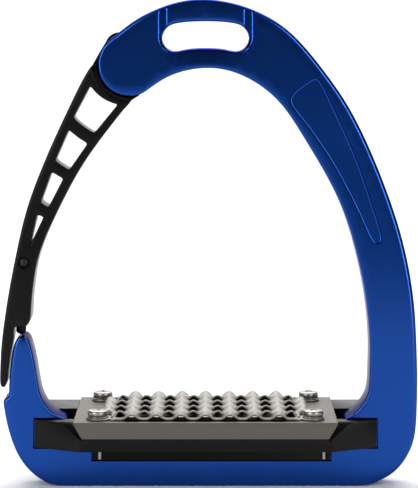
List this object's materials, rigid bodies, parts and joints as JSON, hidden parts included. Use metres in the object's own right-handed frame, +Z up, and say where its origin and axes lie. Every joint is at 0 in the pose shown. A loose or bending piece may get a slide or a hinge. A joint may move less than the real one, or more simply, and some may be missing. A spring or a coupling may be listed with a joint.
{
  "type": "stirrup iron",
  "caption": "Safety stirrup iron: an anodised bow frame with a leather slot, a hinged release arm on one side, and a toothed tread on a wide footbed.",
  "frame": {"origin": "underside of the foot bar, below the middle of the leather slot", "axes": "+X along the foot bar towards the solid leg, +Y through the stirrup towards its back, +Z up to the leather slot"},
  "size_m": [0.1462, 0.0522, 0.1703],
  "materials": {
    "anodised_blue": "satin blue anodised, bright chamfers",
    "black_nylon": "glass-filled nylon, satin",
    "black_nylon_soft": "moulded nylon nose",
    "carrier_nylon": "glass-filled nylon, satin",
    "bright_steel": "ground steel",
    "dark_steel": "blackened steel",
    "screw_steel": "polished stainless",
    "bush_bronze": "sintered bronze",
    "insert_brass": "machined brass",
    "washer_plastic": "acetal",
    "tray_sheet": "satin coated sheet, grey taupe",
    "tread_steel": "bead-blasted stainless"
  },
  "bodies": {
    "frame": {"bow_frame": "anodised_blue", "hinge_pin": "bright_steel", "thrust_washer_front": "washer_plastic", "thrust_washer_rear": "washer_plastic", "carrier_front": "carrier_nylon", "carrier_rear": "carrier_nylon", "tread_tray": "tray_sheet", "tread_plate": "tread_steel", "tread_screw_front_left": "screw_steel", "washer_front_left": "screw_steel", "insert_front_left": "insert_brass", "tread_screw_front_right": "screw_steel", "washer_front_right": "screw_steel", "insert_front_right": "insert_brass", "tread_screw_rear_left": "screw_steel", "washer_rear_left": "screw_steel", "insert_rear_left": "insert_brass", "tread_screw_rear_right": "screw_steel", "washer_rear_right": "screw_steel", "insert_rear_right": "insert_brass", "stay_pin_front_left": "screw_steel", "stay_pin_front_right": "screw_steel", "stay_pin_rear_left": "screw_steel", "stay_pin_rear_right": "screw_steel"},
    "arm": {"release_arm": "black_nylon", "hinge_bush": "bush_bronze", "catch_cross_pin": "dark_steel", "catch_spring": "bright_steel"},
    "plunger": {"catch_plunger": "black_nylon_soft"}
  },
  "joints": [
    {"name": "arm_release", "type": "hinge", "parent": "frame", "child": "arm", "pos_m": [-0.02983, 0, 0.15374], "axis": [0, 1, 0], "range_deg": [0, 75]},
    {"name": "catch_slide", "type": "slide", "parent": "arm", "child": "plunger", "axis": [0.0678, 0, 0.9977], "range_m": [0, 0.0025], "stiffness_N_per_m": 1800, "springref_m": -0.0015, "deforming": ["catch_spring"]}
  ]
}
